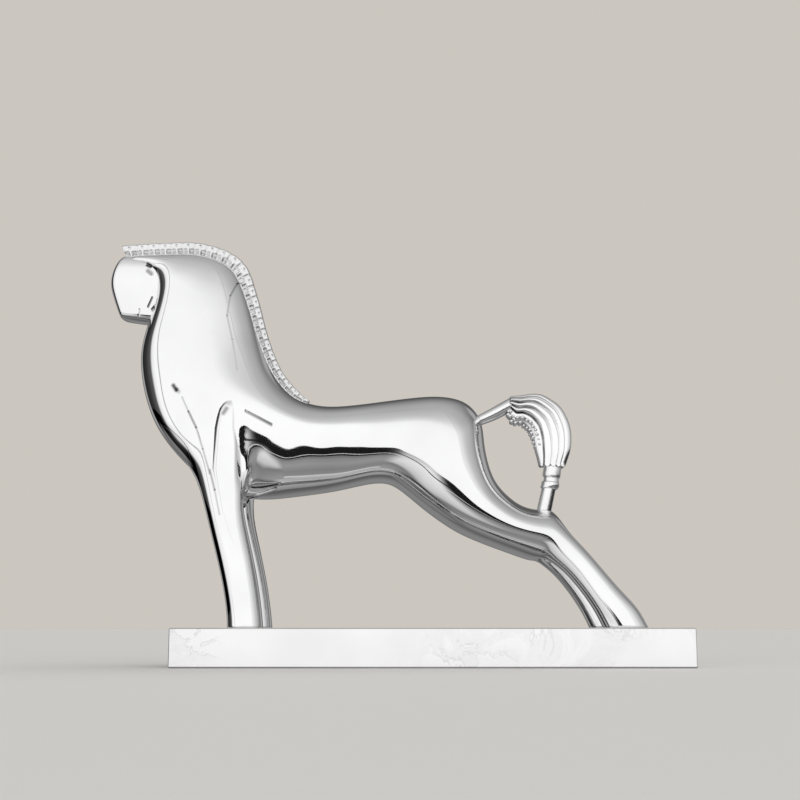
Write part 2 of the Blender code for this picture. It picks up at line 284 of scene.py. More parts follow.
def legRing(station, angles):
    rearX, rearZ, frontX, frontZ, middle, halfWidth = station
    rear, front = place(rearX, rearZ), place(frontX, frontZ)
    centre = (rear + front) / 2.0
    # smoothing draws a ring of few points in, so it starts out wider
    swell = 3.0 / (2.0 + math.cos(2.0 * math.pi / len(angles)))
    power = 2.0 / horse["legSquareness"]
    points = []
    for angle in angles:
        along = math.copysign(abs(math.sin(angle)) ** power, math.sin(angle))
        out = math.copysign(abs(math.cos(angle)) ** power, math.cos(angle))
        point = centre + (rear - centre) * swell * along
        points.append(Vector((point.x, -span(middle) - swell * span(halfWidth) * out, point.z)))
    return points


def addLeg(mesh, loop, stations, angles):
    layers = mesh.edges.layers.float
    crease = layers.get("crease_edge") or layers.new("crease_edge")
    for station in stations:
        row = [mesh.verts.new(point) for point in legRing(station, angles)]
        addStrip(mesh, loop, row, closed=True)
        loop = row
    for vert in loop:
        vert.co.z = plinthHigh.z + figure["fitGap"]
    for edge in mesh.faces.new(loop).edges:
        edge[crease] = 1.0


def bodyCage(name):
    mesh = bmesh.new()
    rows = [[mesh.verts.new(point) for point in ring] for ring in runThrough(bodyRings())]
    first, last = horse["forelegRings"]
    outer, inner = horse["forelegCells"]
    for i in range(len(rows) - 1):
        for j in range(horse["sideCells"]):
            underForeleg = first <= i < last and outer <= j < inner
            if not underForeleg:
                mesh.faces.new((rows[i][j], rows[i][j + 1], rows[i + 1][j + 1], rows[i + 1][j]))
    mesh.faces.new(rows[-1])

    middle = (outer + inner) // 2
    loop = [rows[first][j] for j in range(outer, inner + 1)]
    loop += [rows[i][inner] for i in range(first + 1, last + 1)]
    loop += [rows[last][j] for j in range(inner - 1, outer - 1, -1)]
    loop += [rows[i][outer] for i in range(last - 1, first, -1)]
    step = 2.0 * math.pi / len(loop)
    addLeg(mesh, loop, horse["foreleg"],
           [math.pi / 2 + step * (k - (middle - outer)) for k in range(len(loop))])

    ledge = rows[0]
    web, wall = [], []
    for k in range(1, horse["webCells"]):
        point = ledge[0].co.lerp(ledge[-1].co, k / horse["webCells"])
        web.append(mesh.verts.new(point))
        wall.append(mesh.verts.new((point.x, -span(horse["crotchHalfGap"]), point.z)))
    addStrip(mesh, [ledge[0], *web, ledge[-1]], [ledge[1], *wall, ledge[-2]])
    loop = ledge[1:-1] + wall[::-1]
    step = 2.0 * math.pi / len(loop)
    addLeg(mesh, loop, horse["hindLeg"],
           [step * (horse["sideCells"] // 2 - 1 - k) for k in range(len(loop))])
    return newPiece(name, mesh)


def makeBody():
    body = bodyCage("horse_body")
    mirrorAndSmooth(body, horse["levels"])
    mesh = bmesh.new()
    mesh.from_mesh(body.data)
    carve(mesh, horse["strokes"])
    mesh.to_mesh(body.data)
    mesh.free()
    return body


def makeShoulders():
    # a finer piece of the same surface, raised over the foreleg's muscle and sunk around it
    piece = bodyCage("horse_shoulders")
    levels = shoulders["levels"]
    applyModifier(piece, "SUBSURF", levels=levels, render_levels=levels)
    front, rear, low, high = shoulders["window"]
    front, rear = place(front, 0).x, place(rear, 0).x
    low, high = place(0, low).z, place(0, high).z
    rows = sorted(shoulders["stations"])
    mesh = bmesh.new()
    mesh.from_mesh(piece.data)
    outside = [vert for vert in mesh.verts
               if not (front < vert.co.x < rear and low < vert.co.z < high
                       and vert.normal.y < shoulders["facing"])]
    bmesh.ops.delete(mesh, geom=outside, context="VERTS")
    carve(mesh, horse["strokes"])
    mesh.normal_update()
    for vert in mesh.verts:   # lifted by its place across the muscle at its height
        x = (vert.co.x - figureZero) * 1000.0 / figure["height"]
        z = (vert.co.z - plinthHigh.z) * 1000.0 / figure["height"]
        k = 0
        while k < len(rows) - 2 and rows[k + 1][0] < z:
            k += 1
        f = (z - rows[k][0]) / (rows[k + 1][0] - rows[k][0])
        middle, half, rise = (a + (b - a) * f for a, b in zip(rows[k][1:], rows[k + 1][1:]))
        across = abs(x - middle) / half
        crowned = rise * (1.0 - across ** shoulders["crown"]) if rise > 0 else rise
        lift = max(crowned, shoulders["sink"])
        vert.co += vert.normal * span(lift)
    mesh.to_mesh(piece.data)
    mesh.free()
    applyModifier(piece, "MIRROR", use_axis=(False, True, False),
                  merge_threshold=figure["weld"])
    alone(piece)
    bpy.ops.object.shade_smooth()
    return piece


# Head: a pear that overlaps the neck, so its rear edge is the jaw's line

head = {
    # front x, z, rear x, z, half width
    "stations": [
        (-790, 967, -716, 955, 14),
        (-812, 955, -688, 946, 29),
        (-828, 924, -670, 922, 37),
        (-834, 888, -664, 884, 40),
        (-826, 853, -666, 846, 41),
        (-811, 811, -678, 802, 40),
        (-804, 798, -688, 785, 36),
        (-792, 791, -702, 778, 18),
    ],
    "cells": 6,
    "widest": 0.5,
    "browSquareness": 4.2,
    "cheekSquareness": 4.2,
    "levels": 4,
}


def loftHalf(rings):
    mesh = bmesh.new()
    rows = [[mesh.verts.new(point) for point in ring] for ring in rings]
    for lower, upper in zip(rows, rows[1:]):
        addStrip(mesh, lower, upper)
    mesh.faces.new(rows[0])
    mesh.faces.new(rows[-1])
    return mesh


def makeHead():
    rings = [halfRing(place(frontX, frontZ), place(rearX, rearZ), span(halfWidth),
                      head["cells"], head["widest"],
                      squareness=head["cheekSquareness"], upper=head["browSquareness"])
             for frontX, frontZ, rearX, rearZ, halfWidth in head["stations"]]
    piece = newPiece("horse_head", loftHalf(runThrough(rings)))
    mirrorAndSmooth(piece, head["levels"])
    return piece


# Mane: a row of dimpled knots on a narrow comb that follows the crest. Each knot has a tick
# in the groove at its foot.

mane = {
    "knots": 24,
    "startStation": 8.7,      # place among the horse's stations where the comb begins
    "pointsPerSpan": 40,
    "directionReach": 0.01,   # share of the length to both sides that gives the direction
    "tip": (-798, 966),
    "tipLean": 0.45,          # how far the last knot leans forward
    "thickness": 0.0086,
    "sink": 0.0022,           # how far the foot goes into the neck
    # share of the crest's length, height there in thousandths
    "heights": [(0.0, 9), (0.06, 18), (0.3, 19), (0.45, 23), (0.56, 29), (0.7, 30), (1.0, 30)],
    # side of the mane: share of half the thickness, share of the height
    "profile": [(0.60, 0.08), (0.70, 0.18), (0.86, 0.26), (0.97, 0.33), (1.0, 0.42),
                (1.0, 0.56), (1.0, 0.62), (1.0, 0.68), (1.0, 0.74), (1.0, 0.80), (0.97, 0.87),
                (0.85, 0.94), (0.55, 0.985), (0.2, 1.0)],
    "stepsPerKnot": 20,
    "notch": (0.08, 0.13, 0.04),      # share of a knot, of the thickness, of the height
    # share of a knot, height and its reach as shares of the mane's, depth in metres
    "dimple": (0.11, 0.68, 0.095, 0.0008),
    "tick": (0.12, 0.97, 0.30),       # share of a knot, of the half thickness, top
    "tickEdge": 0.7,                  # share of the tick that is flat
    "smoothAngle": 60.0,
}


class Crest:
    # the line along the top of the neck, measured by its length
    def __init__(self):
        keys = [station[:2] for station in horse["stations"]]
        fine = mane["pointsPerSpan"]
        points = []
        for k in range(fine * (len(keys) - 1) + 1):
            if k / fine >= mane["startStation"]:
                points.append(place(*smoothBetween(keys, k / fine)))
        points.append(place(*mane["tip"]))
        self.points = points
        self.lengths = [0.0]
        for a, b in zip(points, points[1:]):
            self.lengths.append(self.lengths[-1] + (b - a).length)

    def at(self, share):
        wanted = min(max(share, 0.0), 1.0) * self.lengths[-1]
        k = min(max(bisect.bisect_left(self.lengths, wanted) - 1, 0), len(self.points) - 2)
        f = (wanted - self.lengths[k]) / (self.lengths[k + 1] - self.lengths[k])
        return self.points[k].lerp(self.points[k + 1], f)

    def height(self, share):
        for (a, low), (b, high) in zip(mane["heights"], mane["heights"][1:]):
            if share <= b:
                return span(low + (high - low) * (share - a) / (b - a))
        return span(mane["heights"][-1][1])

    def map(self, share, out, rise):
        # a point beside the crest: out across it, rise as a share of the mane's height
        reach = mane["directionReach"]
        along = (self.at(share + reach) - self.at(share - reach)).normalized()
        up = Vector((along.z, 0.0, -along.x))
        lean = mane["tipLean"] * max(0.0, 1.0 - (1.0 - share) * mane["knots"])
        up = (up + along * lean).normalized()
        return self.at(share) + up * rise * self.height(share) + Vector((0.0, out, 0.0))


def makeMane():
    crest = Crest()
    half = mane["thickness"] / 2.0
    notchLong, notchIn, notchDown = mane["notch"]
    dimpleLong, dimpleRise, dimpleHigh, dimpleDeep = mane["dimple"]
    tickLong, tickOut, tickTop = mane["tick"]
    steps = mane["knots"] * mane["stepsPerKnot"]
    mesh = bmesh.new()
    rows = []
    for i in range(steps + 1):
        share = i / steps
        phase = (share * mane["knots"]) % 1.0
        notch = math.exp(-(min(phase, 1.0 - phase) / notchLong) ** 2)
        middle = math.exp(-((phase - 0.5) / dimpleLong) ** 2)
        tick = 1.0 - fade(abs(phase - 0.5), tickLong * mane["tickEdge"], tickLong)
        right = []
        foot = mane["profile"][0][0]
        for out, rise in [(foot, -mane["sink"] / crest.height(share)), *mane["profile"]]:
            if rise < tickTop:
                out += (tickOut - out) * tick
            width = half * out * (1.0 - notchIn * notch)
            width -= dimpleDeep * middle * math.exp(-((rise - dimpleRise) / dimpleHigh) ** 2)
            right.append((width, rise * (1.0 - notchDown * notch)))
        around = right + [(-width, rise) for width, rise in reversed(right)]
        rows.append([mesh.verts.new(crest.map(share, width, rise))
                     for width, rise in around])
    for lower, upper in zip(rows, rows[1:]):
        addStrip(mesh, lower, upper, closed=True)
    mesh.faces.new(rows[0])
    mesh.faces.new(rows[-1])
    piece = newPiece("horse_mane", mesh)
    alone(piece)
    bpy.ops.object.shade_smooth_by_angle(angle=math.radians(mane["smoothAngle"]))
    return piece


# Tail: a stem, a fluted switch with a curled inner band, two cuffs and a rod down to the hock

tail = {
    "plainAround": 32,        # points round the plain lengths
    "plainSteps": 4,          # rings between two rows of a plain length
    "switchAround": 280,
    "switchSteps": 8,
    # outer x, z, inner x, z, half width
    "stem": [(100, 530, 112, 508, 12), (110, 534, 121, 512, 12), (155, 558, 168, 529, 14),
             (203, 585, 213, 551, 17), (222, 592, 222, 549, 15)],
    "switch": [(206, 586, 203, 542, 17), (212, 591, 208, 537, 21), (237, 593, 214, 520, 23),
               (264, 597, 229, 519, 24), (289, 595, 243, 512, 24), (315, 581, 252, 503, 24),
               (337, 563, 259, 493, 24), (352, 538, 264, 479, 24), (361, 512, 268, 463, 24),
               (364, 484, 271, 447, 24), (361, 450, 275, 432, 24), (348, 411, 279, 414, 24)],
    "upperCuff": [(330, 413, 298, 415, 17), (336, 409, 292, 411, 21), (337, 402, 292, 405, 22),
                  (335, 385, 289, 389, 22), (333, 379, 291, 383, 21), (329, 376, 295, 379, 16)],
    "waist": [(331, 381, 293, 384, 18), (330, 362, 290, 366, 18)],
    "lowerCuff": [(326, 369, 293, 372, 16), (331, 366, 287, 370, 20), (331, 358, 285, 362, 21),
                  (327, 351, 283, 355, 20), (322, 348, 287, 352, 16)],
    "rod": [(324, 356, 288, 360, 18), (320, 340, 284, 344, 18), (307, 281, 270, 286, 18)],
    "squareness": 4.2,        # of the switch's section
    # place across the switch from its outer edge, at the collar and at the hem, and the
    # depths there
    "grooves": [(0.10, 0.21, 1.1, 0.4), (0.25, 0.38, 1.5, 0.35), (0.42, 0.59, 1.5, 0.35),
                (0.58, 0.83, 2.3, 1.5)],
    "grooveWidth": (0.040, 0.024),
    "grooveDepth": 0.0010,
    # painted shade in each groove at the collar and further down, and the place where it has
    # changed
    "tarnish": [(0.80, 0.0, 0.34), (0.95, 0.08, 0.52), (0.95, 0.15, 0.62), (0.90, 0.55, 0.75)],
    "paintedShadeFrom": 0.12,
    "paintedShadeWidth": (0.040, 0.018),
    "paintedShadeBreaks": (0.78, 0.22, 31.0, 2.3),     # level, swing, waves, shift per groove
    "beads": 12,              # curls along the inner edge, in each row
    "beadsFrom": 0.3,         # place of the first, in steps between two
    "beadsTo": 0.80,
    "beadRadius": 0.0023,
    "beadRows": [(0.95, 1.0), (0.50, 0.85)],      # place from the last groove inwards, size
    "beadShift": (-0.06, 0.04),
    "beadSizes": (0.75, 1.1),
    "beadThinning": 0.4,      # how much smaller they are at the hem
    "beadEdge": 0.995,        # innermost place
    "beadSink": 0.93,
    "beadSeed": 5,
    "beadRoundness": 2,
    "scallops": 0.0018,
    "smoothAngle": 50.0,
}


def rowsAlong(stations, stepsPerSpan):
    # the rows of a length of the tail, with more rows between them
    last = len(stations) - 1
    steps = last * stepsPerSpan
    return [smoothBetween(stations, i * last / steps) for i in range(steps + 1)]


def tailRing(values, around):
    outerX, outerZ, innerX, innerZ, halfWidth = values
    outer, inner = place(outerX, outerZ), place(innerX, innerZ)
    centre, axis = (outer + inner) / 2.0, (outer - inner) / 2.0
    ring = []
    for j in range(around):
        angle = 2.0 * math.pi * j / around
        point = centre + axis * math.cos(angle)
        ring.append(Vector((point.x, span(halfWidth) * math.sin(angle), point.z)))
    return ring


def addLoft(mesh, rings, shades=None):
    rows = [[mesh.verts.new(point) for point in ring] for ring in rings]
    # each point keeps its painted groove shade in a vertex layer
    if shades:
        layer = mesh.verts.layers.float["tarnish"]
        for row, values in zip(rows, shades):
            for vert, value in zip(row, values):
                vert[layer] = value
    for lower, upper in zip(rows, rows[1:]):
        addStrip(mesh, lower, upper, closed=True)
    for row in (rows[0], rows[-1]):
        centre = mesh.verts.new(sum((vert.co for vert in row), Vector()) / len(row))
        for j, vert in enumerate(row):
            mesh.faces.new((vert, row[(j + 1) % len(row)], centre))


def groovePlace(groove, progress):
    return groove[0] + (groove[1] - groove[0]) * progress


def switchPoint(values, progress, across, side):
    # a point of the switch: across from its outer to its inner edge, on one side
    outerX, outerZ, innerX, innerZ, halfWidth = values
    squareness = tail["squareness"]
    bulge = max(1.0 - abs(2.0 * across - 1.0) ** squareness, 0.0) ** (1.0 / squareness)
    depth = 0.0
    for groove in tail["grooves"]:
        width = groovePlace(tail["grooveWidth"], progress)
        gap = (across - groovePlace(groove, progress)) / width
        strength = groove[2] + (groove[3] - groove[2]) * progress
        depth += tail["grooveDepth"] * strength * math.exp(-gap * gap)
    point = place(outerX, outerZ).lerp(place(innerX, innerZ), across)
    point.y = side * (span(halfWidth) - depth) * bulge
    return point


def grooveShade(progress, across):
    # painted shade in the grooves, strongest near the collar and broken up along them
    dark = 0.0
    level, swing, waves, shift = tail["paintedShadeBreaks"]
    width = groovePlace(tail["paintedShadeWidth"], progress)
    for k, groove in enumerate(tail["grooves"]):
        gap = (across - groovePlace(groove, progress)) / width
        near, far, gone = tail["tarnish"][k]
        strength = near + (far - near) * fade(progress, tail["paintedShadeFrom"], gone)
        broken = level + swing * math.sin(waves * progress + shift * k)
        dark = max(dark, strength * broken * math.exp(-gap * gap))
    return dark


def switchRing(values, progress):
    half = tail["switchAround"] // 2
    ring, shades = [], []
    for j in range(2 * half):
        angle = math.pi * (j if j <= half else 2 * half - j) / half
        across = (1.0 - math.cos(angle)) / 2.0
        ring.append(switchPoint(values, progress, across, -1 if j <= half else 1))
        shades.append(grooveShade(progress, across))
    return ring, shades


def addBeads(mesh):
    # curls in two rows along the inner edge of the switch
    chance = random.Random(tail["beadSeed"])
    stations = tail["switch"]
    for k in range(tail["beads"]):
        progress = tail["beadsTo"] * (k + tail["beadsFrom"]) / tail["beads"]
        values = smoothBetween(stations, progress * (len(stations) - 1))
        last = groovePlace(tail["grooves"][-1], progress)
        for row, size in tail["beadRows"]:
            across = last + (1.0 - last) * (row + chance.uniform(*tail["beadShift"]))
            radius = tail["beadRadius"] * size * chance.uniform(*tail["beadSizes"])
            radius *= 1.0 - tail["beadThinning"] * progress
            for side in (-1, 1):
                centre = switchPoint(values, progress, min(across, tail["beadEdge"]), side)
                centre.y *= tail["beadSink"]
                made = bmesh.ops.create_icosphere(mesh, subdivisions=tail["beadRoundness"],
                                                  radius=radius)
                bmesh.ops.translate(mesh, vec=centre, verts=made["verts"])


def makeTail():
    mesh = bmesh.new()
    mesh.verts.layers.float.new("tarnish")
    for part in ("stem", "upperCuff", "waist", "lowerCuff", "rod"):
        rows = rowsAlong(tail[part], tail["plainSteps"])
        addLoft(mesh, [tailRing(values, tail["plainAround"]) for values in rows])
    rows = rowsAlong(tail["switch"], tail["switchSteps"])
    rings, shades = [], []
    for i, values in enumerate(rows):
        ring, shade = switchRing(values, i / (len(rows) - 1))
        rings.append(ring)
        shades.append(shade)
    hem = rings[-1]
    outer, inner = hem[0], hem[tail["switchAround"] // 2]
    strands = len(tail["grooves"])
    edges = [0.0] + [groove[1] for groove in tail["grooves"]] + [1.0]
    for point in hem:         # each strand ends in a round lobe
        across = (point.x - outer.x) / (inner.x - outer.x)
        k = min(sum(edge < across for edge in edges[1:-1]), strands)
        lobe = (across - edges[k]) / (edges[k + 1] - edges[k])
        point.z -= tail["scallops"] * math.sin(math.pi * min(max(lobe, 0.0), 1.0))
    addLoft(mesh, rings, shades)
    addBeads(mesh)
    piece = newPiece("tail_switch_and_rod", mesh)
    alone(piece)
    bpy.ops.object.shade_smooth_by_angle(angle=math.radians(tail["smoothAngle"]))
    return piece


# Plinth: a slab with softened edges

plinth = {"edgeRound": 0.0012, "segments": 4, "flatness": 100}


def makePlinth():
    size = plinthHigh - plinthLow
    bpy.ops.object.select_all(action="DESELECT")
    bpy.ops.mesh.primitive_cube_add(size=1.0, location=(plinthLow + plinthHigh) / 2.0)
    piece = bpy.context.object
    piece.name = "plinth_slab"
    bpy.ops.object.mode_set(mode="EDIT")
    bpy.ops.mesh.select_all(action="SELECT")
    bpy.ops.transform.resize(value=size)
    bpy.ops.mesh.bevel(offset=plinth["edgeRound"], segments=plinth["segments"], affect="EDGES")
    bpy.ops.object.mode_set(mode="OBJECT")
    bpy.ops.object.transform_apply(location=True, rotation=True, scale=True)
    bpy.ops.object.shade_smooth()
    applyModifier(piece, "WEIGHTED_NORMAL", weight=plinth["flatness"])
    return piece


# Shader maths: a Wire is one socket, and adding or multiplying wires adds Math nodes

class Wire:
    def __init__(self, tree, socket):
        self.tree = tree
        self.socket = socket

    def node(self, kind, settings=None, inputs=None, output=0):
        made = self.tree.nodes.new(kind)
        for key, value in (settings or {}).items():
            if key == "stops":
                ramp = made.color_ramp
                while len(ramp.elements) < len(value):
                    ramp.elements.new(0.5)
                for element, (position, colour) in zip(ramp.elements, value):
                    element.position = position
                    element.color = (*colour, 1.0)
            else:
                setattr(made, key, value)
        for key, value in (inputs or {}).items():
            socket = made.inputs[key]
            if isinstance(value, Wire):
                self.tree.links.new(value.socket, socket)
            else:
                socket.default_value = value
        return Wire(self.tree, made.outputs[output])

    def maths(self, operation, first, second=0.0):
        return self.node("ShaderNodeMath", {"operation": operation}, {0: first, 1: second})

    def vector(self, operation, first, second, output=0):
        return self.node("ShaderNodeVectorMath", {"operation": operation},
                         {0: first, 1: second}, output)

    def scaled(self, share):
        # a colour times a number
        return self.node("ShaderNodeVectorMath", {"operation": "SCALE"},
                         {0: self, "Scale": share})

    def __add__(self, other):
        return self.maths("ADD", self, other)

    def __sub__(self, other):
        return self.maths("SUBTRACT", self, other)

    def __rsub__(self, other):
        return self.maths("SUBTRACT", other, self)

    def __mul__(self, other):
        return self.maths("MULTIPLY", self, other)

    def __truediv__(self, other):
        return self.maths("DIVIDE", self, other)

    def __abs__(self):
        return self.maths("ABSOLUTE", self)

    __radd__ = __add__
    __rmul__ = __mul__

    def step(self, low, high):
        # 0 below low, 1 above high, smooth between
        return self.node("ShaderNodeMapRange", {"interpolation_type": "SMOOTHSTEP"},
                         {0: self, 1: low, 2: high})


def newMaterial(name):
    material = bpy.data.materials.new(name)
    material.use_nodes = True
    tree = material.node_tree
    shader = tree.nodes["Principled BSDF"]
    point = Wire(tree, tree.nodes.new("ShaderNodeTexCoord").outputs["Object"])
    return material, tree, shader, point


def engraved(point, strokes):
    # depth of the small marks at a point, and their painted shade and painted dark reflection
    # lines, summed over lines of the drawing
    flat = point.vector("MULTIPLY", point, (1.0, 0.0, 1.0))
    total, dark = 0.0, 0.0
    for start, end, radius, depth, darkness in strokes:
        a = place(*start)
        line = place(*end) - a
        offset = flat.vector("SUBTRACT", flat, a)
        dot = flat.vector("DOT_PRODUCT", offset, line, "Value")
        along = flat.node("ShaderNodeMath", {"operation": "DIVIDE", "use_clamp": True},
                          {0: dot, 1: line.length_squared})
        foot = flat.node("ShaderNodeVectorMath", {"operation": "SCALE"},
                         {0: line, "Scale": along})
        gap = flat.vector("DISTANCE", offset, foot, "Value")
        inside = 1.0 - gap.step(0.0, span(radius))
        total = total + inside * depth
        dark = dark + inside * darkness
    return total, dark


# Small marks on the horse, cut in and darkened with painted shade in the grooves and painted dark
# reflection lines: from x, z, to x, z, radius, depth in metres, darkness of that painting
marks = [
    ((-735, 934), (-728, 930), 7, 0.0010, 0.9),       # ear
    ((-733, 919), (-724, 911), 9, 0.0006, 0.55),
    ((-719, 845), (-729, 820), 4, 0.0005, 0.8),       # cheek
    ((-718, 812), (-709, 824), 6, 0.0005, 0.6),
    ((-751, 813), (-753, 797), 4, 0.0003, 0.3),       # nostril
    ((-460, 531), (-396, 496), 6, 0.0003, 0.6),       # behind the shoulder
    ((-515, 527), (-508, 538), 10, 0.0003, 0.6),
    # the neck's lines are painted dark reflections, barely cut in
    ((-486, 892), (-500, 884), 4, 0.0001, 0.6),       # neck
    ((-500, 884), (-514, 846), 4, 0.0001, 0.5),
    ((-514, 846), (-519, 790), 4, 0.0001, 0.3),
    ((-519, 790), (-503, 726), 4, 0.0001, 0.22),
    ((-503, 726), (-487, 643), 4, 0.0001, 0.15),
    ((-648, 603), (-640, 591), 9, 0.0003, 0.9),       # breast, down to the foreleg
    ((-638, 592), (-633, 586), 9, 0.0002, 0.35),
    ((-624, 572), (-606, 534), 4, 0.0001, 0.35),
    ((-606, 534), (-585, 493), 5, 0.0002, 0.6),
    ((-585, 493), (-566, 438), 4, 0.0001, 0.4),
    ((-566, 438), (-546, 375), 4, 0.0001, 0.35),
    ((-546, 385), (-532, 335), 5, 0.0001, 0.5),
    ((-532, 335), (-518, 274), 4, 0.0001, 0.35),
]


# What all the plating shares
finish = {
    "bloomNoise": {"Scale": 14.0, "Detail": 3.0},
    "bloomRange": (0.35, 0.62),       # noise over which the tone clears
    "bloomTone": 0.93,
    "bloomRoughness": 0.03,
    "waveNoise": {"Scale": 26.0, "Detail": 1.0},
    "paintedMarkTone": 0.06,                 # the darkest that a mark gets
    # painted reflection streaks on the plinth
    "reflectionStreakNoise": {"Scale": 22.0, "Detail": 5.0, "Roughness": 0.62, "Distortion": 1.4},
    "reflectionStreakLines": [(0.50, 0.028, 1.0), (0.56, 0.10, 0.45)],   # noise, its reach, strength
    "patchNoise": {"Scale": 11.0, "Detail": 1.0},
    "patchRange": (0.50, 0.66),
    "cavitySamples": 8,
}


def plating(name, tint, roughness, wave, strokes=(), paintedCavityShade=None, paintedReflectionStreaks=0.0, tarnish=None):
    # mirror plating with waves of this height in metres, and a slightly duller bloom in places;
    # where asked, painted shade and painted reflections darken its colour
    material, tree, shader, point = newMaterial(name)

    def noise(kind):
        return point.node("ShaderNodeTexNoise", None, {"Vector": point, **finish[kind]})

    bloom = noise("bloomNoise")
    dull, clear = finish["bloomRange"]
    duller = tuple(finish["bloomTone"] * channel for channel in tint)
    colour = point.node("ShaderNodeValToRGB", {"stops": [(dull, duller), (clear, tint)]},
                        {"Fac": bloom})
    height = noise("waveNoise") * wave
    # the marks are cut into the bump, and their painted shade and painted reflection lines darken
    # the colour
    if strokes:
        depth, dark = engraved(point, strokes)
        height = height - depth
        light = 1.0 - dark
        colour = colour.scaled(light.maths("MAXIMUM", light, finish["paintedMarkTone"]))
    if paintedReflectionStreaks:
        # painted reflection: thin wandering grey streaks, in places
        wander = noise("reflectionStreakNoise")
        streak = 0.0
        for level, reach, strength in finish["reflectionStreakLines"]:
            streak = streak + (1.0 - abs(wander - level).step(0.0, reach)) * strength
        streak = streak * noise("patchNoise").step(*finish["patchRange"])
        colour = colour.scaled(1.0 - streak * paintedReflectionStreaks)
    if tarnish:
        # painted shade in the tail's grooves, read from the vertex layer
        layer = point.node("ShaderNodeAttribute", {"attribute_name": tarnish}, None, "Fac")
        colour = colour.scaled(1.0 - layer)
    if paintedCavityShade:
        # painted shade in hollows, from ambient occlusion: reach, from which openness to which it
        # clears, and the tone in the depth
        reach, low, high, darkest = paintedCavityShade
        openness = point.node("ShaderNodeAmbientOcclusion", {"samples": finish["cavitySamples"]},
                              {"Distance": reach}, "AO")
        colour = colour.scaled(openness.step(low, high) * (1.0 - darkest) + darkest)
    bump = point.node("ShaderNodeBump", None,
                      {"Height": height, "Distance": 1.0, "Strength": 1.0})
    shader.inputs["Metallic"].default_value = 1.0
    tree.links.new(colour.socket, shader.inputs["Base Color"])
    rough = roughness + bloom * finish["bloomRoughness"]
    tree.links.new(rough.socket, shader.inputs["Roughness"])
    tree.links.new(bump.socket, shader.inputs["Normal"])
    return material


# Studio: a pale floor, a pale backdrop, and soft light whose shape the plating mirrors

studio = {
    # camera: metres, degrees and millimetres
    "distance": 1.10,
    "height": 0.030,
    "offset": -0.02474,
    "pitch": 9.5563,
    "lens": 60.943,
    "backdrop": (0.600, 0.565, 0.520),
    "floor": (0.86, 0.84, 0.81),
    # display tone of the light by elevation in degrees, seen towards the camera
    "front": [(-90, 150), (-76, 150), (-70, 205), (-66, 135), (-50, 128), (-30, 145),
              (-20, 135), (-16, 112), (-7, 112), (-6, 248), (2, 250), (20, 250), (32, 245),
              (45, 215), (60, 195), (90, 172)],
    "frontBand": (-14.5, -2.8, 26),       # elevation from, to, tone
    "frontLine": (-12.0, -11.2, 205),
    "bandSoftness": 0.15,
    # the same on the left, below the horizon
    "left": [(-90, 150), (-60, 140), (-42, 120), (-34, 190), (-22, 212), (-12, 224),
             (-3, 240), (90, 250)],
    "leftBand": (-8.6, -7.4, 45),
    "leftSpan": (-76.0, -16.0, 6.0),      # azimuth from, to, softness
    "horizon": (-3.0, 0.0),               # elevation over which the ground gives way
    # share of the light's display tone by azimuth in degrees, from behind over the left and
    # the camera
    "round": [(-180, 0.30), (-150, 0.26), (-120, 0.16), (-93, 0.22), (-73, 0.36), (-66, 0.92),
              (-55, 1.0), (32, 1.0), (50, 0.88), (68, 0.77), (91, 0.68), (118, 0.46), (150, 0.34),
              (180, 0.30)],
    "displayPower": 2.2,
    "overhead": (25.0, 95.0),             # elevation over which that share evens out
    # display tone by elevation behind the figure
    "back": [(-90, 84), (-40, 92), (-20, 126), (-8, 126), (-6, 118), (26, 92)],
    "backAzimuth": (-152.0, 152.0, 6.0),  # where it ends: from, to, softness
    "backElevation": (-100.0, 26.0, 3.0),
    # light to both sides of the back: azimuth from, to, elevation from, to, tone
    "sides": [(129, 149, -10, 40, 160), (104, 152, -70, -13, 118)],
    "sidesSoftness": 5.0,
    "seams": [(-48, 1.0, 0.6), (40, 0.6, 0.3)],      # azimuth, half width, strength
    "seamsEnd": (55.0, 75.0),             # elevation over which the seams fade out
    "mirrored": 1.1,                      # strength of what the plating mirrors
    "floorSize": 60.0,
    "floorRoughness": 0.8,
    "sun": 0.9,
    "sunSize": 70.0,                      # degrees
    "sunTurn": (-12.0, 14.0, 0.0),
}


def tone(shown):
    # the linear value of a display tone from 0 to 255
    share = shown / 255.0
    return share / 12.92 if share <= 0.04045 else ((share + 0.055) / 1.055) ** 2.4


